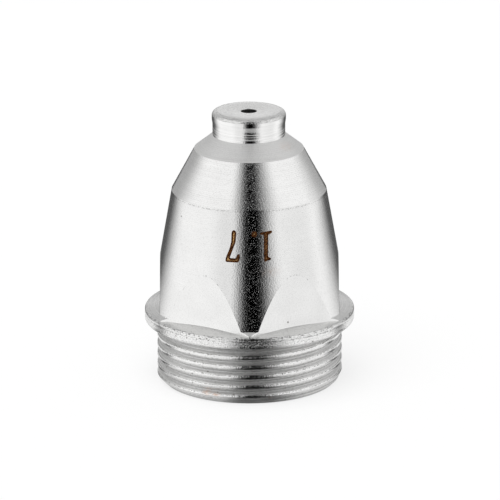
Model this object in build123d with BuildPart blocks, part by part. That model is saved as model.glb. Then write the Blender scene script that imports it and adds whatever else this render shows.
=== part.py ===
from build123d import *
from math import cos, radians, tan
import os

# A plasma torch nozzle, turned and milled from one bar. It stands on its thread end,
# with the axis on Z and Z = 0 at the end of the thread. Lengths are in millimetres.

# Whole nozzle
overall_length = 29.46

# Wrench hexagon and the turned barrel that cuts its corners back
flat_count = 6
across_flats = 19.0
corner_cut = 0.49       # how far the barrel turns each corner back, in radius
corner_land = 0.05      # width of the foot left at each corner
foot_angle = 45.0       # slope of the turned foot under each corner

# Flange
flange_ledge = 0.23     # flange rim outside the hexagon's corners
flange_rim = 1.04       # height of the cylindrical rim
flange_break = 0.20     # edge break above the rim
flange_slope = 17.4     # rise of the flange top towards the barrel, in degrees

# Thread end
seat_width = 1.30       # annular seat under the flange, outside the thread
thread_length = 6.60    # thread end, from the bottom face to the seat
thread_pitch = 1.10
crest_width = 0.44      # cylindrical land left between two turns of the groove
flank_angle = 60.0      # between the two flanks of the groove
relief_width = 0.58     # run-out groove under the seat
relief_depth = 0.60
relief_lip = 0.03       # the relief's sloping wall meets the seat this far outside the crests
lead_chamfer = 0.60

# Outside of the nose, from the barrel up
barrel_top_diameter = 16.44
taper_top_diameter = 11.62
neck_diameter = 7.70
lip_overhang = 0.07     # the head's lip outside the neck, in radius
taper_height = 4.46
shoulder_height = 1.54
neck_height = 1.02
lip_run = 0.75          # height over which the neck widens into the lip
lip_height = 0.73
tip_round = 0.55

# Inside, from the orifice down
orifice_diameter = 1.70
orifice_length = 4.00
entry_angle = 60.0      # between the entry cone's wall and the axis
pocket_diameter = 8.40
pocket_length = 5.20
funnel_angle = 30.0     # between the funnel's wall and the axis
chamber_diameter = 14.00
mouth_chamfer = 0.40

# Radii and heights that follow
apothem = across_flats / 2
corner_radius = apothem / cos(radians(180 / flat_count))
flange_radius = corner_radius + flange_ledge
thread_radius = flange_radius - seat_width
barrel_radius = corner_radius - corner_cut
foot_radius = corner_radius - corner_land
barrel_top_radius = barrel_top_diameter / 2
taper_top_radius = taper_top_diameter / 2
neck_radius = neck_diameter / 2
lip_radius = neck_radius + lip_overhang

rim_top = thread_length + flange_rim
break_top = rim_top + flange_break
break_radius = flange_radius - flange_break
foot_bottom = break_top + (break_radius - foot_radius) * tan(radians(flange_slope))
foot_top = foot_bottom + (foot_radius - barrel_radius) * tan(radians(foot_angle))
lip_bottom = overall_length - lip_height
neck_top = lip_bottom - lip_run
neck_bottom = neck_top - neck_height
taper_top = neck_bottom - shoulder_height
barrel_top = taper_top - taper_height

orifice_radius = orifice_diameter / 2
pocket_radius = pocket_diameter / 2
chamber_radius = chamber_diameter / 2
entry_top = overall_length - orifice_length
pocket_top = entry_top - (pocket_radius - orifice_radius) / tan(radians(entry_angle))
funnel_top = pocket_top - pocket_length
funnel_bottom = funnel_top - (chamber_radius - pocket_radius) / tan(radians(funnel_angle))

# Helical groove. It starts below the bottom face and runs out in the relief under the seat.
relief_bottom = thread_length - relief_width
flank_slope = tan(radians(flank_angle / 2))
groove_width = thread_pitch - crest_width
groove_depth = groove_width / 2 / flank_slope
groove_rise = crest_width / 4               # how far the cutter stands outside the crests
cutter_width = groove_width + 2 * groove_rise * flank_slope
groove_start = -thread_pitch / 2
groove_run = relief_bottom - groove_start

with BuildPart() as thread_groove:
    with BuildLine() as groove_path:
        Helix(pitch=thread_pitch, height=groove_run, radius=thread_radius, center=(0, 0, groove_start))
    with BuildSketch(Plane.XZ) as groove_section:
        with BuildLine():
            Polyline(
                (thread_radius - groove_depth, groove_start),
                (thread_radius + groove_rise, groove_start - cutter_width / 2),
                (thread_radius + groove_rise, groove_start + cutter_width / 2),
                close=True,
            )
        make_face()
    sweep(path=groove_path.wires()[0], is_frenet=True)

# Thread end: a chamfered stub with a relief under the seat, then the groove cut round it
with BuildPart() as thread_end:
    with BuildSketch(Plane.XZ):
        with BuildLine():
            Polyline(
                (0, 0),
                (thread_radius - lead_chamfer, 0),
                (thread_radius, lead_chamfer),
                (thread_radius, relief_bottom),
                (thread_radius - relief_depth, relief_bottom),
                (thread_radius + relief_lip, thread_length),
                (0, thread_length),
                close=True,
            )
        make_face()
    revolve(axis=Axis.Z)
    add(thread_groove.part, mode=Mode.SUBTRACT)

# Flange: a thin rim with a broken edge, and a top that rises towards the barrel
with BuildPart() as flange:
    with BuildSketch(Plane.XZ):
        with BuildLine():
            Polyline(
                (0, thread_length),
                (flange_radius, thread_length),
                (flange_radius, rim_top),
                (break_radius, break_top),
                (0, break_top + break_radius * tan(radians(flange_slope))),
                close=True,
            )
        make_face()
    revolve(axis=Axis.Z)

# Barrel and nose, turned, then the hexagon's flats milled down to the flange
with BuildPart() as barrel:
    with BuildSketch(Plane.XZ):
        with BuildLine():
            Polyline(
                (0, thread_length),
                (foot_radius, thread_length),
                (foot_radius, foot_bottom),
                (barrel_radius, foot_top),
                (barrel_top_radius, barrel_top),
                (taper_top_radius, taper_top),
                (neck_radius, neck_bottom),
                (neck_radius, neck_top),
                (lip_radius, lip_bottom),
                (lip_radius, overall_length),
                (0, overall_length),
                close=True,
            )
        make_face()
    revolve(axis=Axis.Z)
    fillet(barrel.faces().sort_by(Axis.Z)[-1].edges(), radius=tip_round)
    with BuildSketch(Plane.XY.offset(thread_length)):
        RegularPolygon(apothem, flat_count, major_radius=False, rotation=180 / flat_count)
    extrude(amount=overall_length - thread_length, mode=Mode.INTERSECT)

# Cavity: chamber, funnel, electrode pocket, entry cone and orifice, on one axis
with BuildPart() as cavity:
    with BuildSketch(Plane.XZ):
        with BuildLine():
            Polyline(
                (0, 0),
                (chamber_radius + mouth_chamfer, 0),
                (chamber_radius, mouth_chamfer),
                (chamber_radius, funnel_bottom),
                (pocket_radius, funnel_top),
                (pocket_radius, pocket_top),
                (orifice_radius, entry_top),
                (orifice_radius, overall_length),
                (0, overall_length),
                close=True,
            )
        make_face()
    revolve(axis=Axis.Z)

with BuildPart() as nozzle:
    add(thread_end.part)
    add(flange.part)
    add(barrel.part)
    add(cavity.part, mode=Mode.SUBTRACT)

os.makedirs("parts", exist_ok=True)
nozzle.part.label = "nozzle"
export_step(nozzle.part, "parts/nozzle.step")
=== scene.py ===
from math import cos, hypot, pi, radians, sin, sqrt, tan

import bmesh
import bpy
from mathutils import Matrix, Vector, noise
from mathutils.geometry import tessellate_polygon


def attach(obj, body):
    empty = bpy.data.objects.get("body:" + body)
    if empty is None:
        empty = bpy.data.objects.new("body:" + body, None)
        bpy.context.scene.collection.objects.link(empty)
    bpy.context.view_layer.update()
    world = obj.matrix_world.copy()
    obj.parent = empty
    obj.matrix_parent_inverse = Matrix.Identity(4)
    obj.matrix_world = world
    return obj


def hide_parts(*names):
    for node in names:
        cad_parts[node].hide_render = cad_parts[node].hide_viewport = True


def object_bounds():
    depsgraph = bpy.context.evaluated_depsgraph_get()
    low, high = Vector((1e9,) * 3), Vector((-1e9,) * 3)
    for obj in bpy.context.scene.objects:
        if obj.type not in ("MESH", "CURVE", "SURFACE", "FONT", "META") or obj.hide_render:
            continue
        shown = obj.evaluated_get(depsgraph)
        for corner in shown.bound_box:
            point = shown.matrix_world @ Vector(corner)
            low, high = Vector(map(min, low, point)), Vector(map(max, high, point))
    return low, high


# A plasma torch nozzle on a white floor, inside a small light tent.
# Lengths are in millimetres and angles in degrees, unless a note says otherwise.

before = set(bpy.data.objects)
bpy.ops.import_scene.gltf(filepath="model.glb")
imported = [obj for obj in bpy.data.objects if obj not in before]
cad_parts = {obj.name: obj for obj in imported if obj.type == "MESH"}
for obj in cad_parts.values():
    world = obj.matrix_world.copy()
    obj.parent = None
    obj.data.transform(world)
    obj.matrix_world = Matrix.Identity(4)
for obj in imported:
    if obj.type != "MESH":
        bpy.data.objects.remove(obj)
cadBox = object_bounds()
mm = 0.001
scene = bpy.context.scene
scene.view_settings.view_transform = "Standard"


def lerp(a, b, t):
    return a + (b - a) * t


def ease(t):
    t = min(max(t, 0.0), 1.0)
    return t * t * (3 - 2 * t)


def readCurve(knots, x):  # straight lines between (x, y) knots
    for (x0, y0), (x1, y1) in zip(knots, knots[1:]):
        if x <= x1:
            return lerp(y0, y1, (x - x0) / (x1 - x0))
    return knots[-1][1]


def addObject(name, data):
    thing = bpy.data.objects.new(name, data)
    scene.collection.objects.link(thing)
    return thing


# Camera: a long lens, a little above the nozzle

shot = {
    "aim": (0.075, 0.0, 14.07),
    "distance": 484.3,
    "elevation": 17.44,
    "lens": 327.1,
    "sensor": 36,
    "roll": -0.2,
    "clip": (0.05, 50),  # metres
}


def addCamera():
    data = bpy.data.cameras.new("shotCamera")
    data.lens = shot["lens"]
    data.sensor_width = shot["sensor"]
    data.clip_start, data.clip_end = shot["clip"]
    camera = addObject("shotCamera", data)
    tilt = radians(shot["elevation"])
    back = Vector((0, -cos(tilt), sin(tilt)))
    camera.location = (Vector(shot["aim"]) + back * shot["distance"]) * mm
    turn = (-back).to_track_quat("-Z", "Y").to_matrix()
    camera.rotation_euler = (turn @ Matrix.Rotation(radians(shot["roll"]), 3, "Z")).to_euler()
    scene.camera = camera


addCamera()
print("camera placed")


# Node helpers

def addNode(tree, kind, **values):
    node = tree.nodes.new(kind)
    for key, value in values.items():
        setattr(node, key, value)
    return node


def feed(tree, socket, value):  # a link for a socket, a plain value otherwise
    if isinstance(value, bpy.types.NodeSocket):
        tree.links.new(value, socket)
    else:
        socket.default_value = value


def feedAll(tree, node, values):
    for name, value in values.items():
        feed(tree, node.inputs[name], value)


def maths(tree, operation, *values, clamp=False):
    node = addNode(tree, "ShaderNodeMath", operation=operation, use_clamp=clamp)
    for socket, value in zip(node.inputs, values):
        feed(tree, socket, value)
    return node.outputs[0]


def invert(tree, value):
    return maths(tree, "SUBTRACT", 1.0, value)


def vectorMaths(tree, operation, *values, scale=None):
    node = addNode(tree, "ShaderNodeVectorMath", operation=operation)
    for socket, value in zip(node.inputs, values):
        feed(tree, socket, value)
    if scale is not None:
        feed(tree, node.inputs["Scale"], scale)
    return node.outputs["Value" if operation in ("LENGTH", "DOT_PRODUCT") else "Vector"]


def separate(tree, value, kind="ShaderNodeSeparateXYZ"):
    node = addNode(tree, kind)
    feed(tree, node.inputs[0], value)
    return node.outputs


def combine(tree, *values, kind="ShaderNodeCombineXYZ"):
    node = addNode(tree, kind)
    for socket, value in zip(node.inputs, values):
        feed(tree, socket, value)
    return node.outputs[0]


def mixColour(tree, factor, a, b):
    node = addNode(tree, "ShaderNodeMix", data_type="RGBA")
    feed(tree, node.inputs["Factor"], factor)
    feed(tree, node.inputs[6], a)  # its colour sockets come after those for numbers and vectors
    feed(tree, node.inputs[7], b)
    return node.outputs[2]


def softStep(tree, value, low, high, least=0.0):
    node = addNode(tree, "ShaderNodeMapRange", interpolation_type="SMOOTHSTEP")
    feedAll(tree, node, {"Value": value, "From Min": low, "From Max": high, "To Min": least})
    return node.outputs["Result"]


def noiseAt(tree, place, scale, detail, roughness=0.5):
    node = addNode(tree, "ShaderNodeTexNoise", noise_dimensions="3D")
    feedAll(tree, node, {"Vector": place, "Scale": scale, "Detail": detail, "Roughness": roughness})
    return node.outputs[0]


def placeInMm(tree):  # the point on the nozzle, in millimetres
    place = addNode(tree, "ShaderNodeTexCoord").outputs["Object"]
    return vectorMaths(tree, "SCALE", place, scale=1 / mm)


def newMaterial(name):
    material = bpy.data.materials.new(name)
    material.use_nodes = True
    return material, material.node_tree


def newGroup(name, inputs, outputs):
    tree = bpy.data.node_groups.new(name, "ShaderNodeTree")
    for label, kind, start in inputs:
        socket = tree.interface.new_socket(label, in_out="INPUT", socket_type=kind)
        if start is not None:
            socket.default_value = start
    for label, kind in outputs:
        tree.interface.new_socket(label, in_out="OUTPUT", socket_type=kind)
    return tree, addNode(tree, "NodeGroupInput").outputs, addNode(tree, "NodeGroupOutput").inputs


def useGroup(tree, group, **values):
    node = addNode(tree, "ShaderNodeGroup", node_tree=group)
    feedAll(tree, node, values)
    return node.outputs[0]


# Effects shared by the materials. Place is the point on the nozzle in millimetres.

number, vector = "NodeSocketFloat", "NodeSocketVector"


def makeTurningLines():  # rings left by the lathe, by height or by radius
    tree, given, out = newGroup(
        "turningLines",
        [("Place", vector, None), ("Spacing", number, 0.2), ("ByRadius", number, 0.0)],
        [("Height", number)],
    )
    drift = 0.12      # how much a ring changes on its way round
    waveShare = 0.12  # of an even wave, beside the noise
    x, y, z = separate(tree, given["Place"])
    radius = vectorMaths(tree, "LENGTH", combine(tree, x, y))
    byRadius = maths(tree, "MULTIPLY", radius, given["ByRadius"])
    byHeight = maths(tree, "MULTIPLY", z, invert(tree, given["ByRadius"]))
    along = maths(tree, "DIVIDE", maths(tree, "ADD", byRadius, byHeight), given["Spacing"])
    drifted = combine(tree, maths(tree, "MULTIPLY", x, drift), maths(tree, "MULTIPLY", y, drift), along)
    rough = noiseAt(tree, drifted, 1.0, 3.0, roughness=0.7)
    wave = maths(tree, "SINE", maths(tree, "MULTIPLY", along, 2 * pi))
    feed(tree, out["Height"], maths(tree, "ADD", rough, maths(tree, "MULTIPLY", wave, waveShare)))
    return tree


def makeSatinGrain():  # fine dull grain of the plating
    tree, given, out = newGroup(
        "satinGrain",
        [("Place", vector, None), ("Size", number, 0.1)],
        [("Height", number)],
    )
    feed(tree, out["Height"], noiseAt(tree, given["Place"], maths(tree, "DIVIDE", 1.0, given["Size"]), 0.0))
    return tree


def makeMottle():  # soft clouds in the tone of the plating
    tree, given, out = newGroup(
        "mottle",
        [("Place", vector, None), ("Size", number, 3.0)],
        [("Shade", number)],
    )
    cloud = noiseAt(tree, given["Place"], maths(tree, "DIVIDE", 1.0, given["Size"]), 4.0)
    feed(tree, out["Shade"], maths(tree, "SUBTRACT", cloud, 0.5))
    return tree


def makePits():  # sparse small pits and dark dots
    tree, given, out = newGroup(
        "pits",
        [("Place", vector, None), ("Size", number, 0.3), ("Share", number, 0.1)],
        [("Mask", number)],
    )
    smallest, variation = 0.12, 0.25  # of a pit's radius, as parts of its cell
    cells = addNode(tree, "ShaderNodeTexVoronoi", voronoi_dimensions="3D")
    feedAll(tree, cells, {"Vector": given["Place"], "Scale": maths(tree, "DIVIDE", 1.0, given["Size"])})
    draw = separate(tree, cells.outputs["Color"], kind="ShaderNodeSeparateColor")
    chosen = maths(tree, "LESS_THAN", draw[0], given["Share"])
    reach = maths(tree, "MULTIPLY_ADD", draw[1], variation, smallest)
    inside = invert(tree, softStep(tree, maths(tree, "DIVIDE", cells.outputs["Distance"], reach), 0.5, 1.1))
    feed(tree, out["Mask"], maths(tree, "MULTIPLY", chosen, inside))
    return tree


def makeCopperShow():  # copper showing through thin plating round a point
    tree, given, out = newGroup(
        "copperShow",
        [("Place", vector, None), ("Centre", vector, None), ("Reach", number, 1.0)],
        [("Mask", number)],
    )
    squash = (1, 1, 2.6)  # a mark is wider than it is high
    offset = vectorMaths(tree, "SUBTRACT", given["Place"], given["Centre"])
    away = vectorMaths(tree, "LENGTH", vectorMaths(tree, "MULTIPLY", offset, squash))
    near = invert(tree, softStep(tree, maths(tree, "DIVIDE", away, given["Reach"]), 0.1, 1.0))
    blot = softStep(tree, noiseAt(tree, given["Place"], 3.4, 4.0), 0.25, 0.75)
    feed(tree, out["Mask"], maths(tree, "MULTIPLY", near, blot))
    return tree


def makeFlecks():  # small flecks, drawn out round the axis
    tree, given, out = newGroup(
        "flecks",
        [("Place", vector, None), ("Size", number, 0.15), ("Stretch", number, 1.0), ("Rarity", number, 0.6)],
        [("Mask", number)],
    )
    softness = 0.08
    stretched = vectorMaths(tree, "MULTIPLY", given["Place"], combine(tree, 1.0, 1.0, given["Stretch"]))
    spots = noiseAt(tree, stretched, maths(tree, "DIVIDE", 1.0, given["Size"]), 2.0)
    full = maths(tree, "ADD", given["Rarity"], softness)
    feed(tree, out["Mask"], softStep(tree, spots, given["Rarity"], full))
    return tree


turningLines = makeTurningLines()
satinGrain = makeSatinGrain()
mottle = makeMottle()
pits = makePits()
copperShow = makeCopperShow()
flecks = makeFlecks()
print("effects ready")


# Plated copper, with one finish for each zone. Depths are in thousandths of a millimetre.

plating = {
    "tint": (1.0, 0.998, 0.99),
    "copperTone": (0.75, 0.45, 0.30, 1),
    "pitTone": (0.16, 0.145, 0.13, 1),
    "pitDarkening": 0.75,
    "pitDulling": 0.3,
    "pitDepth": 8.0,
    "cloudSize": 2.6,
    "cloudDulling": 0.12,
    "grooveDulling": 1.8,
    "wear": dict(Size=0.2, Stretch=2.0, Rarity=0.5),
    "dentShift": (7.3, 2.1, 4.4),  # keeps the dents apart from the flecks
}

# lines: spacing, depth, 1 by radius or 0 by height, brush; grain: size, depth; pits: size, share
# flecks and dents: size, stretch, rarity, and darkness or depth; copper: centre, reach, strength
# groove shade, painted shade in a groove: radius at the bottom, radius at the crest, tone left at the
# bottom; edge: three radii, darkness
finishes = {
    "threadPlate": dict(
        tone=0.88, roughness=0.06, cloud=0.16,
        lines=(0.16, 4.0, 0, 0.35), grain=(0.14, 16.0), pits=(0.34, 0.09),
        # the thread's grooves get painted shade, darker towards their bottom
        flecks=[(0.16, 2.0, 0.60, 0.35)], groove=(9.62, 9.885, 0.78), edge=(9.79, 9.84, 9.89, 0.75),
        copper=[((-4.5, -8.75, 1.05), 0.95, 0.75), ((-3.6, -9.2, 1.0), 0.7, 0.6),
                ((2.2, -9.6, 0.8), 0.5, 0.5), ((-6.2, -7.6, 1.2), 0.35, 0.6)],
    ),
    "rimPlate": dict(
        tone=0.90, roughness=0.13, cloud=0.10,
        lines=(0.14, 9.0, 0, 0.25), grain=(0.14, 14.0), pits=(0.30, 0.05),
        flecks=[(0.12, 1.6, 0.57, 0.50)], dents=(0.10, 1.4, 0.59, 13.0),
    ),
    "edgePlate": dict(
        tone=0.82, roughness=0.13, cloud=0.10,
        lines=(0.14, 9.0, 0, 0.25), grain=(0.14, 10.0), pits=(0.30, 0.09),
        flecks=[(0.13, 1.6, 0.55, 0.9), (0.5, 3.0, 0.56, 0.4)],
    ),
    "ledgePlate": dict(
        tone=0.70, roughness=0.25, cloud=0.10,
        lines=(0.22, 8.0, 1, 0.35), grain=(0.14, 12.0), pits=(0.40, 0.02),
        flecks=[(0.14, 1.0, 0.60, 0.25)],
    ),
    "footPlate": dict(
        tone=0.74, roughness=0.25, cloud=0.06,
        lines=(0.22, 8.0, 0, 0.0), grain=(0.14, 10.0), pits=(0.40, 0.0),
    ),
    "flatPlate": dict(
        tone=0.88, roughness=0.20, cloud=0.06,
        lines=(0.30, 0.0, 0, 0.0), grain=(0.14, 8.0), pits=(0.5, 0.004),
        flecks=[(0.12, 1.0, 0.52, 0.05)],
    ),
    "barrelPlate": dict(
        tone=0.88, roughness=0.088, cloud=0.06,
        lines=(0.20, 2.0, 0, 0.08), grain=(0.14, 7.5), pits=(0.45, 0.003),
        flecks=[(0.12, 1.3, 0.54, 0.09)], dents=(0.050, 1.2, 0.67, 7.0), edge=(8.22, 8.245, 8.275, 0.40),
        copper=[((1.75, -8.9, 14.5), 2.0, 0.26)],
    ),
    "seamPlate": dict(
        tone=0.87, roughness=0.12, cloud=0.06,
        lines=(0.20, 2.0, 0, 0.0), grain=(0.14, 8.0), pits=(0.45, 0.003),
        flecks=[(0.14, 1.0, 0.56, 0.45)],
    ),
    "taperPlate": dict(
        tone=0.88, roughness=0.082, cloud=0.06,
        lines=(0.18, 3.0, 0, 0.16), grain=(0.14, 6.0), pits=(0.45, 0.003),
        flecks=[(0.14, 5.0, 0.55, 0.09)], dents=(0.050, 1.3, 0.648, 12.0),
    ),
    "shoulderPlate": dict(
        tone=0.83, roughness=0.34, cloud=0.04,
        lines=(0.18, 12.0, 1, 0.14), grain=(0.14, 16.0), pits=(0.4, 0.0),
        flecks=[(0.13, 1.0, 0.52, 0.06)], copper=[((4.0, -2.6, 26.3), 1.7, 0.16)],
    ),
    "neckPlate": dict(
        tone=0.90, roughness=0.10, cloud=0.04,
        lines=(0.12, 1.5, 0, 0.3), grain=(0.14, 7.0), pits=(0.4, 0.004),
    ),
    "lipPlate": dict(
        tone=0.82, roughness=0.15, cloud=0.10,
        lines=(0.22, 4.0, 1, 0.1), grain=(0.14, 16.0), pits=(0.3, 0.03),
        flecks=[(0.10, 1.0, 0.53, 0.40)], dents=(0.10, 1.0, 0.56, 18.0),
    ),
    "facePlate": dict(
        tone=0.89, roughness=0.26, cloud=0.06,
        lines=(0.22, 6.0, 1, 0.16), grain=(0.14, 18.0), pits=(0.4, 0.004),
        flecks=[(0.12, 1.0, 0.55, 0.20)],
    ),
    "chamberPlate": dict(
        tone=0.62, roughness=0.36, cloud=0.06,
        lines=(0.30, 8.0, 0, 0.12), grain=(0.20, 8.0), pits=(0.5, 0.01),
    ),
    # painted shade: a near-black tone stands for the shade down the narrow bore
    "boreShadePlate": dict(
        tone=0.10, roughness=0.60, cloud=0.06,
        lines=(0.20, 8.0, 0, 0.0), grain=(0.14, 8.0), pits=(0.4, 0.02),
    ),
}


def fleckMask(tree, place, size, stretch, rarity):
    return useGroup(tree, flecks, Place=place, Size=size, Stretch=stretch, Rarity=rarity)


def darken(tree, shade, mask, amount):
    return maths(tree, "MULTIPLY", shade, maths(tree, "MULTIPLY_ADD", mask, -amount, 1.0))


def edgeWear(tree, place, level, low, middle, high):  # ragged wear along an edge, by its radius
    outside = invert(tree, softStep(tree, level, middle, high))
    ring = maths(tree, "MULTIPLY", softStep(tree, level, low, middle), outside)
    return maths(tree, "MULTIPLY", ring, useGroup(tree, flecks, Place=place, **plating["wear"]))


def plateColour(tree, place, shade, pit, values):
    channels = [maths(tree, "MULTIPLY", shade, tint) for tint in plating["tint"]]
    grey = combine(tree, *channels, kind="ShaderNodeCombineColor")
    colour = mixColour(tree, maths(tree, "MULTIPLY", pit, plating["pitDarkening"]), grey, plating["pitTone"])
    for centre, reach, strength in values.get("copper", []):
        show = useGroup(tree, copperShow, Place=place, Centre=centre, Reach=reach)
        colour = mixColour(tree, maths(tree, "MULTIPLY", show, strength), colour, plating["copperTone"])
    return colour


def plateHeight(tree, place, lines, pit, values):
    size, depth = values["grain"]
    grain = useGroup(tree, satinGrain, Place=place, Size=size)
    height = maths(tree, "MULTIPLY_ADD", lines, values["lines"][1], maths(tree, "MULTIPLY", grain, depth))
    if "dents" in values:  # sparse steep dents, which sparkle
        size, stretch, rarity, depth = values["dents"]
        shifted = vectorMaths(tree, "ADD", place, plating["dentShift"])
        height = maths(tree, "MULTIPLY_ADD", fleckMask(tree, shifted, size, stretch, rarity), -depth, height)
    return maths(tree, "MULTIPLY_ADD", pit, -plating["pitDepth"], height)


def makePlate(name, values):
    material, tree = newMaterial(name)
    shader = tree.nodes["Principled BSDF"]
    shader.inputs["Metallic"].default_value = 1.0
    place = placeInMm(tree)
    level = vectorMaths(tree, "LENGTH", vectorMaths(tree, "MULTIPLY", place, (1, 1, 0)))  # from the axis
    cloud = useGroup(tree, mottle, Place=place, Size=plating["cloudSize"])
    shade = maths(tree, "MULTIPLY_ADD", cloud, values["cloud"] * 2, values["tone"])
    roughness = maths(tree, "MULTIPLY_ADD", cloud, plating["cloudDulling"], values["roughness"])
    if "groove" in values:  # painted shade down in the grooves, with duller plating there
        deep, crest, least = values["groove"]
        grooveShadeFactor = softStep(tree, level, deep, crest, least)
        # painted shade: the tone falls towards the bottom of a groove
        shade = maths(tree, "MULTIPLY", shade, grooveShadeFactor)
        dulling = maths(tree, "MULTIPLY", invert(tree, grooveShadeFactor), plating["grooveDulling"])
        roughness = maths(tree, "ADD", roughness, dulling)
    for size, stretch, rarity, dark in values.get("flecks", []):
        shade = darken(tree, shade, fleckMask(tree, place, size, stretch, rarity), dark)
    if "edge" in values:
        *radii, dark = values["edge"]
        shade = darken(tree, shade, edgeWear(tree, place, level, *radii), dark)
    spacing, _, byRadius, brush = values["lines"]
    lines = useGroup(tree, turningLines, Place=place, Spacing=spacing, ByRadius=float(byRadius))
    shade = maths(tree, "MULTIPLY", shade, maths(tree, "MULTIPLY_ADD", lines, brush, 1 - 0.5 * brush))
    size, share = values["pits"]
    pit = useGroup(tree, pits, Place=place, Size=size, Share=share)
    bump = addNode(tree, "ShaderNodeBump")
    feedAll(tree, bump, {"Distance": mm / 1000, "Height": plateHeight(tree, place, lines, pit, values)})
    feedAll(tree, shader, {
        "Base Color": plateColour(tree, place, shade, pit, values),
        "Roughness": maths(tree, "MULTIPLY_ADD", pit, plating["pitDulling"], roughness, clamp=True),
        "Normal": bump.outputs[0],
    })
    return material


plates = {name: makePlate(name, values) for name, values in finishes.items()}
print("plating ready")


# Nozzle body: one closed skin, made column by column round the axis.
# Pairs are radius and height. Offsets are degrees from the nearest corner of the hexagon.

body = {
    "height": round(cadBox[1][2] / mm, 2),
    "apothem": 9.5,
    "flats": 6,
    "cornerColumns": (0, 0.455, 1.6, 2.75, 3.9, 5.03),  # offsets, up to where the barrel meets the flat
    "flatColumns": 25,        # from there to the middle of the flat
    "sharpAngle": 35,         # two flats meet at more than this
    # Thread end
    "threadRadius": 9.9,
    "threadTop": 6.02,
    "pitch": 1.10,
    "turns": 7,
    "leadRadius": 9.30,
    "endRadius": 7.40,
    "crestWear": dict(away=0.2, reach=0.12, size=0.35, depth=0.05),  # away from the crest's middle
    "relief": [(9.32, 6.03), (9.30, 6.08), (9.93, 6.60)],
    # Flange
    "flangeRadius": round(cadBox[1][0] / mm, 2),
    "rim": (6.60, 7.64),
    "rimFoot": [(-0.12, 0), (-0.05, 0.07), (0, 0.20)],  # rounded bottom edge, from where it would be sharp
    "rimLine": (0.30, 0.12),  # a worn line, from and to these depths under the rim's top
    "rimBreak": 0.20,
    "breakStart": 0.02,
    "nicks": dict(level=0.3, count=22, rarity=0.32, depth=0.22),
    "ledgeSlope": 17.4,
    # Hexagon, with the turned foot and a hollow blend at the foot of each flat
    "footRadius": 10.92,
    "footBottom": 7.865,
    "footLand": 0.11,
    "blendHeight": 0.85,
    "blendOut": 0.14,
    "blendRun": 9,            # degrees over which the blend grows
    # Barrel and nose
    "barrel": ((10.48, 8.305), (8.22, 20.96)),
    "burr": dict(height=0.005, size=1.2, uneven=0.012, offset=17, run=8, crest=0.05, end=0.13),
    "taperTop": (5.81, 25.42),
    "neckFoot": (3.85, 26.96),
    "neckRises": (0, 0.05, 0.16),
    "neckRings": [(27.22, 27.41), (27.55, 27.655), (27.78, 27.93), (28.22, 28.66)],
    "ringStep": 0.025,
    "ringSlope": 0.144,
    "ringLand": 0.02,
    "lip": [(3.92, 28.80), (3.92, 28.98), (3.915, 29.10), (3.89, 29.22), (3.84, 29.32), (3.76, 29.40),
            (3.65, 29.465), (3.50, 29.51), (3.30, 29.545), (3.1, 29.56), (2.8, 29.56), (2.5, 29.552)],
    "lipSpan": (2, 8),        # the points of the lip where its finish starts and ends
    "face": [(2.1, 29.535), (1.5, 29.50)],
    "orificeRadius": 0.85,
    "orificeEdge": dict(out=0.04, up=0.01, down=0.03),
    # Inside, from the orifice down: zone, finish, where it ends, steps
    "inside": [
        # the orifice and its entry take the bore's painted shade
        ("orifice", "boreShadePlate", (0.85, 25.46), 4),
        ("entry", "boreShadePlate", (4.2, 23.53), 3),
        ("pocket", "chamberPlate", (4.2, 18.33), 3),
        ("funnel", "chamberPlate", (7.0, 13.48), 3),
        ("chamber", "chamberPlate", (7.0, 0.4), 5),
        ("mouth", "chamberPlate", (7.4, 0), 1),
    ],
}
halfFlat = 180 / body["flats"]  # degrees from a corner to the middle of a flat

# Thread section over half a pitch: distance from the crest's middle, and depth
threadSection = [
    (0, 0), (0.10, 0.003), (0.15, 0.014), (0.20, 0.042), (0.25, 0.095),
    (0.34, 0.215), (0.44, 0.345), (0.50, 0.405), (0.55, 0.42),
]

# Zones whose shared edge is smooth
softJoins = [
    ("seat", "rimFoot"), ("rimFoot", "rim"), ("rim", "rimLine"), ("rimLine", "rimTop"),
    ("rimTop", "rimEdge"), ("seam", "barrel"), ("head", "lip"), ("lip", "face"),
]


def columnAngles():  # each column's angle and offset
    half = list(body["cornerColumns"])
    start, steps = half[-1], body["flatColumns"]
    half += [lerp(start, halfFlat, i / steps) for i in range(1, steps + 1)]
    offsets = [-a for a in reversed(half[1:])] + half
    columns = []
    for corner in range(body["flats"]):
        columns += [(corner * 2 * halfFlat - 90 + a, a) for a in (offsets if corner == 0 else offsets[1:])]
    return columns


def flatRadius(offset):
    return body["apothem"] / cos(radians(halfFlat - abs(offset)))


def barrelRadius(z):
    (r0, z0), (r1, z1) = body["barrel"]
    return lerp(r0, r1, (z - z0) / (z1 - z0))


def barrelHeight(radius):
    (r0, z0), (r1, z1) = body["barrel"]
    return lerp(z0, z1, (radius - r0) / (r1 - r0))


def spread(start, end, count):  # points from start to end, both kept
    return [tuple(lerp(a, b, i / count) for a, b in zip(start, end)) for i in range(count + 1)]


def ragged(angle, radius, z, size, depth):  # small uneven wear at a point
    a = radians(angle)
    return noise.noise(Vector((radius * cos(a), radius * sin(a), z)) / size) * depth


def threadRadius(angle, z):
    pitch, radius, wear = body["pitch"], body["threadRadius"], body["crestWear"]
    away = abs((z - pitch * angle / 360 + pitch / 2) % pitch - pitch / 2)
    share = max(0, 1 - abs(away - wear["away"]) / wear["reach"])
    worn = share * abs(ragged(angle, radius, z, wear["size"], wear["depth"]))
    return radius - readCurve(threadSection, away) - worn


def leadRows(angle, steps=8):  # the thread run out over its chamfer
    lead = body["leadRadius"]
    heights = [(body["threadRadius"] - lead) * i / steps for i in range(steps + 1)]
    return [(min(threadRadius(angle, z), lead + z), z) for z in heights]


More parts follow.
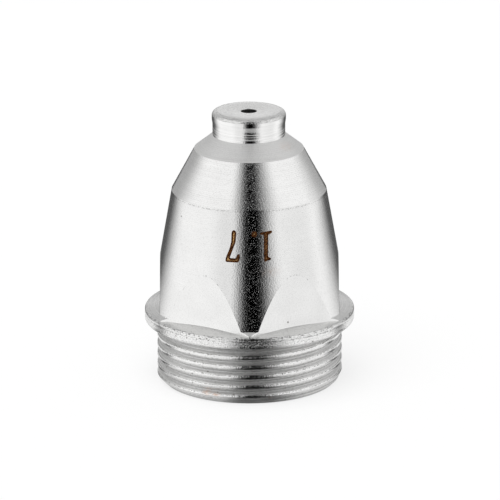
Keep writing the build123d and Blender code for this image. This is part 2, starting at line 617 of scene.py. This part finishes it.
def threadRows(angle):
    pitch, low, top = body["pitch"], body["threadRadius"] - body["leadRadius"], body["threadTop"]
    offsets = [-d for d, _ in reversed(threadSection[1:])] + [d for d, _ in threadSection]
    rows = []
    for turn in range(body["turns"]):
        crest = pitch * (turn + angle / 360)
        for away in (offsets if turn == 0 else offsets[1:]):
            z = min(max(crest + away, low), top)
            rows.append((threadRadius(angle, z), z))
    return rows


def rimEdgeRows(angle):  # the rim's rounded top edge, with small nicks
    radius, top, edge = body["flangeRadius"], body["rim"][1], body["rimBreak"]
    start, nicks, turn = body["breakStart"], body["nicks"], radians(angle)
    found = noise.noise(Vector((cos(turn), sin(turn), nicks["level"])) * nicks["count"])
    nick = max(0, found - nicks["rarity"]) * nicks["depth"]
    rows = []
    for a in (0, 0.45, 0.9, 1.25):  # radians round the edge
        rows.append((radius - edge * (1 - cos(a)) - nick * sin(a), top - start + (edge + start) * sin(a)))
    return rows + [(radius - edge, top + edge)]


def flatHeights(flat, foot):  # where the flat ends, and where the flare over the turned foot ends
    barrelStart, startHeight = body["barrel"][0]
    if flat < barrelStart:
        return barrelHeight(flat), barrelHeight(flat)
    landTop = body["footBottom"] + body["footRadius"] - foot + body["footLand"]
    return min(landTop, startHeight), startHeight


def flatRows(foot, out, ledgeTop, flatTop):  # the hollow blend, then straight up
    rows = []
    for t in (0, 0.2, 0.4, 0.6, 0.8, 1.0):
        z = min(ledgeTop + t * body["blendHeight"], flatTop)
        near = max(0, 1 - (z - ledgeTop) / body["blendHeight"])
        rows.append((foot + out * near * near, z))
    return rows + spread((foot, max(rows[-1][1], ledgeTop)), (foot, flatTop), 8)[1:]


def barrelRows(angle, offset, start):  # a small burr round the top of each flat, then the barrel
    burr = body["burr"]
    uneven = ragged(angle, body["apothem"], start, burr["size"], burr["uneven"])
    height = (burr["height"] + uneven) * ease((abs(offset) - burr["offset"]) / burr["run"])
    crest, end = start + burr["crest"], start + burr["end"]
    seam = [(barrelRadius(start), start), (barrelRadius(crest) + height, crest), (barrelRadius(end), end)]
    return seam, spread(seam[-1], body["barrel"][1], 16)


def neckRows():  # small rings: a short step in, then a slope back out, the last one as far as the lip
    (foot, footHeight), lipRadius = body["neckFoot"], body["lip"][0][0]
    rows = [(foot, footHeight + rise) for rise in body["neckRises"]]
    for low, high in body["neckRings"]:
        top = lipRadius if (low, high) == body["neckRings"][-1] else foot
        bottom = top - body["ringSlope"] * (high - low)
        rows += [(foot, low - body["ringStep"]), (bottom, low)]
        rows += [(lerp(bottom, top, t), lerp(low, high, t)) for t in (0.12, 0.5, 0.88, 1)]
        rows.append((top, high + body["ringLand"]))
    return rows


def columnSections(angle, offset):  # a column's zones, from the thread end to the tip and down inside
    flange, (rimBottom, rimTop), edge = body["flangeRadius"], body["rim"], body["rimBreak"]
    flat = flatRadius(offset)
    foot = min(flat, body["footRadius"])
    out = body["blendOut"] * ease((abs(offset) - body["cornerColumns"][-1]) / body["blendRun"])
    ledgeTop = rimTop + edge + (flange - edge - foot - out) * tan(radians(body["ledgeSlope"]))
    flatTop, flareTop = flatHeights(flat, foot)
    leads, threads = leadRows(angle), threadRows(angle)
    rimFoot = [(flange + across, rimBottom + up) for across, up in body["rimFoot"]]
    lineBottom, lineTop = [(flange, rimTop - depth) for depth in body["rimLine"]]
    rimEdge = rimEdgeRows(angle)
    seam, barrel = barrelRows(angle, offset, flareTop)
    lip, (lipFirst, lipLast) = body["lip"], body["lipSpan"]
    bore, height, brink = body["orificeRadius"], body["height"], body["orificeEdge"]
    orificeEdge = [(bore + brink["out"], height + brink["up"]), (bore, height - brink["down"])]
    sections = [
        ("end", "threadPlate", spread((body["endRadius"], 0), leads[0], 3)),
        ("lead", "threadPlate", leads),
        ("thread", "threadPlate", threads),
        ("relief", "threadPlate", [(threads[-1][0], body["threadTop"])] + body["relief"]),
        ("seat", "rimPlate", spread(body["relief"][-1], rimFoot[0], 2)),
        ("rimFoot", "rimPlate", rimFoot),
        ("rim", "rimPlate", spread(rimFoot[-1], lineBottom, 3)),
        ("rimLine", "edgePlate", [lineBottom, lineTop]),
        ("rimTop", "rimPlate", [lineTop, rimEdge[0]]),
        ("rimEdge", "edgePlate", rimEdge),
        ("ledge", "ledgePlate", spread(rimEdge[-1], (foot + out, ledgeTop), 6)),
        ("flat", "flatPlate", flatRows(foot, out, ledgeTop, flatTop)),
        ("flare", "footPlate", spread((foot, flatTop), (min(flat, body["barrel"][0][0]), flareTop), 2)),
        ("seam", "seamPlate", seam),
        ("barrel", "barrelPlate", barrel),
        ("taper", "taperPlate", spread(body["barrel"][1], body["taperTop"], 8)),
        ("shoulder", "shoulderPlate", spread(body["taperTop"], body["neckFoot"], 5)),
        ("head", "neckPlate", neckRows() + lip[:lipFirst + 1]),
        ("lip", "lipPlate", lip[lipFirst:lipLast + 1]),
        ("face", "facePlate", lip[lipLast:] + body["face"] + orificeEdge[:1]),
        ("orificeEdge", "facePlate", orificeEdge),
    ]
    start = orificeEdge[-1]
    for zone, finish, end, steps in body["inside"]:
        sections.append((zone, finish, spread(start, end, steps)))
        start = end
    return sections


def readColumns():  # the points of every column, the zone of every row, and each zone's name and finish
    grid, rowZones, zoneNames, zoneFinish = [], [], [], []
    for angle, offset in columnAngles():
        column = []
        for index, (zone, finish, rows) in enumerate(columnSections(angle, offset)):
            if not grid:
                zoneNames.append(zone)
                zoneFinish.append(finish)
                rowZones += [index] * (len(rows) - 1)
            column += rows if not column else rows[1:]
        a = radians(angle)
        grid.append([(r * cos(a) * mm, r * sin(a) * mm, z * mm) for r, z in column[:-1]])
    return grid, rowZones, zoneNames, zoneFinish


def sharpenEdges(form, zoneLayer, zoneNames):  # sharp between flats, and between zones without a soft join
    soft = {tuple(sorted(zoneNames.index(zone) for zone in pair)) for pair in softJoins}
    for line in form.edges:
        if len(line.link_faces) == 2:
            pair = tuple(sorted(face[zoneLayer] for face in line.link_faces))
            steep = line.calc_face_angle(0) > radians(body["sharpAngle"])
            corner = steep and zoneNames[pair[0]] in ("flat", "flare")
            line.smooth = not corner and (pair[0] == pair[1] or pair in soft)


def addPiece(name, form, materials):  # a finished form as a piece that rides on the nozzle
    mesh = bpy.data.meshes.new(name)
    form.to_mesh(mesh)
    form.free()
    for material in materials:
        mesh.materials.append(material)
    piece = addObject(name, mesh)
    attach(piece, "root")
    return piece


def makeBody():
    grid, rowZones, zoneNames, zoneFinish = readColumns()
    form = bmesh.new()
    zoneLayer = form.faces.layers.int.new("zone")
    verts = [[form.verts.new(point) for point in column] for column in grid]
    finishNames = list(dict.fromkeys(zoneFinish))
    count = len(grid[0])
    for left, right in zip(verts, verts[1:]):
        for row in range(count):
            after = (row + 1) % count
            face = form.faces.new((left[row], right[row], right[after], left[after]))
            face[zoneLayer] = rowZones[row]
            face.material_index = finishNames.index(zoneFinish[rowZones[row]])
            face.smooth = True
    bmesh.ops.remove_doubles(form, verts=form.verts, dist=1e-8)  # metres
    bmesh.ops.dissolve_degenerate(form, edges=form.edges, dist=2e-8)
    sharpenEdges(form, zoneLayer, zoneNames)
    piece = addPiece("nozzleBody", form, [plates[name] for name in finishNames])
    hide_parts("nozzle")
    return piece


nozzleBody = makeBody()
print("body made,", len(nozzleBody.data.polygons), "faces")


# Size numerals, burnt into the barrel. They read with the tip down, so they are turned half round.

def oval(x, y, halfWidth, halfHeight, step=20):
    return [(x + halfWidth * cos(radians(a)), y + halfHeight * sin(radians(a))) for a in range(0, 360, step)]


numerals = {
    "centre": (0.0, 17.3),
    "inset": 0.018,          # how far the outlines are drawn in
    "burntEdge": (-0.14, 0.05),  # from inside that outline to outside
    "proud": 0.034,
    "fillProud": 0.8,        # of the burnt edge's height
    "sunk": 0.03,
    "shapes": {
        "one": [
            (-1.59, 1.70), (-1.84, 1.56), (-2.22, 1.52), (-2.31, 1.38), (-1.94, 1.22), (-1.97, -1.17),
            (-2.34, -1.24), (-2.41, -1.49), (-1.14, -1.33), (-1.20, -1.16), (-1.56, -1.14),
        ],
        "seven": [
            (1.15, 1.70), (2.51, 1.71), (2.44, 1.25), (2.09, 0.46), (1.86, -0.37), (1.82, -1.42),
            (1.62, -1.62), (1.38, -1.40), (1.46, -0.40), (1.78, 0.44), (2.12, 1.34), (1.38, 1.36),
            (1.25, 0.93), (1.06, 0.87), (1.00, 1.22),
        ],
        "point": oval(-0.52, -1.21, 0.26, 0.29),
    },
}

# Burnt copper in two tones, mixed by slanted hatching and small clouds
markFinishes = {
    "burntGold": dict(
        deep=(0.17, 0.052, 0.009, 1), light=(0.92, 0.58, 0.24, 1),
        metallic=0.8, roughness=0.4, gloss=0.5, hatch=36.0, lean=-0.15,  # darker to one side
    ),
    "burntBrown": dict(
        deep=(0.026, 0.007, 0.002, 1), light=(0.13, 0.045, 0.009, 1),
        metallic=0.0, roughness=0.8, gloss=0.1, hatch=20.0, lean=0.0,
    ),
}
hatching = {
    "slant": (0.75, 0.0, -0.66),
    "contrast": 0.35,
    "cloudSize": 0.4,
    "cloudShare": 1.5,
}


def onBarrel(across, up, proud):  # reading frame to the barrel's front, the right way up with the tip down
    x, z = numerals["centre"][0] - across, numerals["centre"][1] - up
    radius = barrelRadius(z)
    turn = radians(-90) + x / radius
    return Vector(((radius + proud) * cos(turn), (radius + proud) * sin(turn), z)) * mm


def around(points):  # each point with the next one, the last one with the first
    return zip(points, points[1:] + points[:1])


def easeCorners(points, times=2, share=0.25, reach=0.09):  # corners cut back, by a share of a side at most
    for _ in range(times):
        eased = []
        for a, b in around(points):
            t = min(share, reach / hypot(b[0] - a[0], b[1] - a[1]))
            eased += [(lerp(a[0], b[0], t), lerp(a[1], b[1], t)), (lerp(b[0], a[0], t), lerp(b[1], a[1], t))]
        points = eased
    return points


def divided(points, step=0.12):  # short enough to follow the round of the barrel
    fine = []
    for a, b in around(points):
        count = max(1, round(hypot(b[0] - a[0], b[1] - a[1]) / step))
        fine += [(lerp(a[0], b[0], i / count), lerp(a[1], b[1], i / count)) for i in range(count)]
    return fine


def shifted(points, away, leastCosine=0.6):  # the outline moved outwards, with short mitres at sharp corners
    if sum(a[0] * b[1] - b[0] * a[1] for a, b in around(points)) < 0:
        away = -away
    moved = []
    for before, here, after in zip(points[-1:] + points[:-1], points, points[1:] + points[:1]):
        a = (Vector(here) - Vector(before)).normalized()
        b = (Vector(after) - Vector(here)).normalized()
        side = Vector((a.y + b.y, -a.x - b.x))
        side = side.normalized() / max(leastCosine, sqrt(max(0.0, (1 + a.dot(b)) / 2)))
        moved.append((here[0] + side.x * away, here[1] + side.y * away))
    return moved


def addFill(form, line):  # a closed slab inside an outline
    low, high = -numerals["sunk"], numerals["proud"] * numerals["fillProud"]
    top = [form.verts.new(onBarrel(*p, high)) for p in line]
    bottom = [form.verts.new(onBarrel(*p, low)) for p in line]
    for a, b, c in tessellate_polygon([[Vector((*p, 0)) for p in line]]):
        form.faces.new((top[a], top[b], top[c]))
        form.faces.new((bottom[c], bottom[b], bottom[a]))
    for i in range(len(line)):
        j = (i + 1) % len(line)
        form.faces.new((top[j], top[i], bottom[i], bottom[j]))


def addBurntEdge(form, line):  # a closed frame along an outline
    (inner, outer), low, high = numerals["burntEdge"], -numerals["sunk"], numerals["proud"]
    rings = []
    for away, proud in ((inner, low), (inner, high), (outer, high), (outer, low)):
        rings.append([form.verts.new(onBarrel(*p, proud)) for p in shifted(line, away)])
    for a, b in around(rings):
        for i in range(len(line)):
            j = (i + 1) % len(line)
            form.faces.new((a[i], a[j], b[j], b[i])).material_index = 1


def makeNumerals(fill, burn):
    form = bmesh.new()
    lines = [shifted(divided(easeCorners(p)), -numerals["inset"]) for p in numerals["shapes"].values()]
    for line in lines:
        addFill(form, line)
    for line in lines:
        addBurntEdge(form, line)
    bmesh.ops.recalc_face_normals(form, faces=form.faces)
    addPiece("sizeNumerals", form, [fill, burn])


def makeMark(name, values):
    material, tree = newMaterial(name)
    shader = tree.nodes["Principled BSDF"]
    shader.inputs["Metallic"].default_value = values["metallic"]
    shader.inputs["Roughness"].default_value = values["roughness"]
    shader.inputs["Specular IOR Level"].default_value = values["gloss"]
    place = placeInMm(tree)
    slant = vectorMaths(tree, "DOT_PRODUCT", place, hatching["slant"])
    wave = maths(tree, "SINE", maths(tree, "MULTIPLY", slant, values["hatch"]))
    stripes = maths(tree, "MULTIPLY_ADD", wave, hatching["contrast"], 0.5)
    stripes = maths(tree, "MULTIPLY_ADD", separate(tree, place)[0], values["lean"], stripes)
    cloud = useGroup(tree, mottle, Place=place, Size=hatching["cloudSize"])
    mixed = maths(tree, "MULTIPLY_ADD", cloud, hatching["cloudShare"], stripes, clamp=True)
    feed(tree, shader.inputs["Base Color"], mixColour(tree, mixed, values["deep"], values["light"]))
    return material


marks = {name: makeMark(name, values) for name, values in markFinishes.items()}
makeNumerals(marks["burntGold"], marks["burntBrown"])
print("numerals made")


# Floor, sky and lamp

studio = {
    "floorSize": 4000,
    "floorDrop": 0.01,       # keeps the floor clear of the nozzle's end
    "floorTone": 0.26,       # the part of the floor's white that takes the shadow
    "skyStrength": 0.55,
    "sunStrength": 1.6,      # watts per square metre
    "sunSpread": 55,
    "sunTilt": (18, -12, 0),
}


def backgroundRays(tree):  # what the camera, the metal and any glass see
    path = addNode(tree, "ShaderNodeLightPath").outputs
    seen = maths(tree, "ADD", path["Is Camera Ray"], path["Is Glossy Ray"])
    return maths(tree, "ADD", seen, path["Is Transmission Ray"], clamp=True)


def makeSky():
    world = bpy.data.worlds.new("studioSky")
    scene.world = world
    world.use_nodes = True
    tree = world.node_tree
    sky = tree.nodes["Background"]
    sky.inputs["Color"].default_value = (1, 1, 1, 1)
    lift = maths(tree, "MULTIPLY", backgroundRays(tree), 1 - studio["skyStrength"])
    feed(tree, sky.inputs["Strength"], maths(tree, "ADD", lift, studio["skyStrength"]))


def makeFloor():
    half, z = studio["floorSize"] / 2 * mm, -studio["floorDrop"] * mm
    mesh = bpy.data.meshes.new("studioFloor")
    corners = [(-half, -half, z), (half, -half, z), (half, half, z), (-half, half, z)]
    mesh.from_pydata(corners, [], [(0, 1, 2, 3)])
    material, tree = newMaterial("whiteFloor")
    tree.nodes.clear()
    dull = addNode(tree, "ShaderNodeBsdfDiffuse")
    tone = studio["floorTone"]
    dull.inputs["Color"].default_value = (tone, tone, tone, 1)
    glow = addNode(tree, "ShaderNodeEmission")
    feed(tree, glow.inputs["Strength"], maths(tree, "MULTIPLY", backgroundRays(tree), 1 - tone))
    both = combine(tree, dull.outputs[0], glow.outputs[0], kind="ShaderNodeAddShader")
    feed(tree, addNode(tree, "ShaderNodeOutputMaterial").inputs["Surface"], both)
    mesh.materials.append(material)
    addObject("studioFloor", mesh)


def makeSun():
    lamp = bpy.data.lights.new("softSun", "SUN")
    lamp.energy = studio["sunStrength"]
    lamp.angle = radians(studio["sunSpread"])
    sun = addObject("softSun", lamp)
    sun.rotation_euler = [radians(a) for a in studio["sunTilt"]]
    sun.visible_glossy = False


makeSky()
makeFloor()
makeSun()
print("studio lit")


# Light tent: what the metal mirrors. White all round, with a dark gap for the camera,
# greyer corners behind, a grey roof and a painted shadow round the nozzle's foot. Only reflections see it.
# Azimuths run round from the camera's side, and levels from 0 for black to 1 for white.

tent = {
    "radius": 460,
    "steps": 120,            # round the axis
    "floorHeight": 0.05,
    "floorRadii": [0.5, 9.1, 9.5, 10.5, 12, 14, 17, 21, 27, 31, 35, 43,
                   52, 58, 64, 72, 84, 96, 110, 130, 155, 190, 240, 320],
    "elevations": [0, 5, 10, 15, 20, 25, 30, 35, 40, 46, 52, 58, 64, 70, 76, 83, 90],
    # A gap is darkest over its core and fades out over soft, to the left and right of its azimuth
    "gaps": [
        dict(azimuth=0, left=(4, 21), right=(11, 32), level=0.0, top=64, fade=22),
        dict(azimuth=180, left=(44, 42), right=(48, 42), level=0.62, top=60, fade=20),
        dict(azimuth=180, left=(26, 38), right=(36, 44), level=0.68, top=12, fade=16),
    ],
    "frontGapAbove": dict(start=10, run=25, narrower=0.50, softer=0.60),
    # Faint greys beside the camera's gap, near the horizon and on the floor outside shadeStart
    "sideShades": [
        dict(azimuth=74, reach=62, level=0.88),
        dict(azimuth=-31, reach=27, level=0.84),
    ],
    "shadeTop": (8, 26),
    "shadeStart": (28, 37),
    "rearWindow": dict(elevation=12, width=36, height=14, level=0.98),
    # Levels on the floor by radius: in front, in the rear corners and right behind
    "floorFront": [(0, 0.22), (10.5, 0.22), (13, 0.0), (36, 0.0),
                   (41, 0.38), (52, 0.38), (62, 0.0), (500, 0.0)],
    "floorCorner": [(0, 0.15), (30, 0.15), (42, 1.0), (500, 1.0)],
    "floorBehind": [(0, 0.85), (30, 0.85), (55, 0.10), (150, 0.10), (210, 0.42), (500, 0.42)],
    "corner": dict(azimuth=97, reach=17),
    "behindStart": [(0, 112), (30, 112), (60, 100), (500, 100)],
    "behindSoft": [(0, 16), (30, 16), (60, 44), (500, 44)],
    "roof": dict(level=0.72, start=48, full=66),
    # painted shadow on the tent's floor: black inside, this level round the foot, white by this radius
    "foot": dict(inside=9.2, level=0.62, radius=24),
}


def easeFrom(value, start, full):
    return ease((value - start) / (full - start))


def turnFrom(azimuth, middle):  # the turn between two azimuths, from -180 to 180
    return (azimuth - middle + 180) % 360 - 180


def sideShade(azimuth, strength):
    level = 1.0
    for shade in tent["sideShades"]:
        away = abs(turnFrom(azimuth, shade["azimuth"]))
        level *= lerp(1, shade["level"], strength * (1 - ease(away / shade["reach"])))
    return level


def tentLevel(azimuth, elevation):
    level = sideShade(azimuth, 1 - easeFrom(elevation, *tent["shadeTop"]))
    for gap in tent["gaps"]:
        away = turnFrom(azimuth, gap["azimuth"])
        core, soft = gap["right"] if away > 0 else gap["left"]
        if gap["azimuth"] == 0:  # the camera's gap is softer higher up
            above = tent["frontGapAbove"]
            high = ease((elevation - above["start"]) / above["run"])
            core, soft = core * (1 - above["narrower"] * high), soft * (1 + above["softer"] * high)
        dark = 1 - ease((abs(away) - core) / soft)
        dark *= 1 - ease((elevation - gap["top"]) / gap["fade"])
        level *= lerp(1, gap["level"], dark)
    window = tent["rearWindow"]
    across = turnFrom(azimuth, 180) / window["width"]
    up = (elevation - window["elevation"]) / window["height"]
    level = lerp(level, window["level"], 1 - ease(hypot(across, up)))
    roof = tent["roof"]
    return level * lerp(1, roof["level"], easeFrom(elevation, roof["start"], roof["full"]))


def floorLevel(azimuth, radius):
    away = turnFrom(azimuth, 0)
    core, soft = tent["gaps"][0]["right" if away > 0 else "left"]
    away = abs(away)
    front = 1 - ease((away - core) / soft)
    corner = max(0.0, 1 - abs(away - tent["corner"]["azimuth"]) / tent["corner"]["reach"])
    behind = ease((away - readCurve(tent["behindStart"], radius)) / readCurve(tent["behindSoft"], radius))
    level = lerp(1.0, readCurve(tent["floorFront"], radius), front)
    level *= sideShade(azimuth, easeFrom(radius, *tent["shadeStart"]))
    level = lerp(level, readCurve(tent["floorCorner"], radius), ease(corner))
    return lerp(level, readCurve(tent["floorBehind"], radius), behind)


def clothLevel(azimuth, radius, elevation):  # elevation is None on the floor
    foot = tent["foot"]
    if radius < foot["inside"]:  # black under the nozzle as its painted shadow, and at the very top
        return 0.0
    if elevation is not None:
        return tentLevel(azimuth, elevation)
    # painted shadow round the foot, fading out by radius
    share = lerp(foot["level"], 1, easeFrom(radius, foot["inside"], foot["radius"]))
    return floorLevel(azimuth, radius) * share


def makeTent():
    rows = [(radius, tent["floorHeight"], None) for radius in tent["floorRadii"]]
    for elevation in tent["elevations"]:
        a = radians(elevation)
        rows.append((tent["radius"] * cos(a), tent["radius"] * sin(a), elevation))
    steps, count = tent["steps"], len(rows)
    points, levels, faces = [], [], []
    for step in range(steps):
        azimuth = step * 360 / steps
        a = radians(azimuth)
        for radius, z, elevation in rows:
            points.append((radius * sin(a) * mm, -radius * cos(a) * mm, z * mm))
            levels.append(clothLevel(azimuth, radius, elevation))
        here, there = step * count, (step + 1) % steps * count
        faces += [(here + i, there + i, there + i + 1, here + i + 1) for i in range(count - 1)]
    mesh = bpy.data.meshes.new("lightTent")
    mesh.from_pydata(points, [], faces)
    mesh.attributes.new("glow", "FLOAT", "POINT").data.foreach_set("value", levels)
    material, tree = newMaterial("tentCloth")
    tree.nodes.clear()
    light = addNode(tree, "ShaderNodeEmission")
    glow = addNode(tree, "ShaderNodeAttribute", attribute_name="glow")
    feed(tree, light.inputs["Strength"], glow.outputs["Fac"])
    feed(tree, addNode(tree, "ShaderNodeOutputMaterial").inputs["Surface"], light.outputs[0])
    mesh.materials.append(material)
    cloth = addObject("lightTent", mesh)
    cloth.visible_camera = cloth.visible_diffuse = cloth.visible_shadow = False


makeTent()
print("tent up")
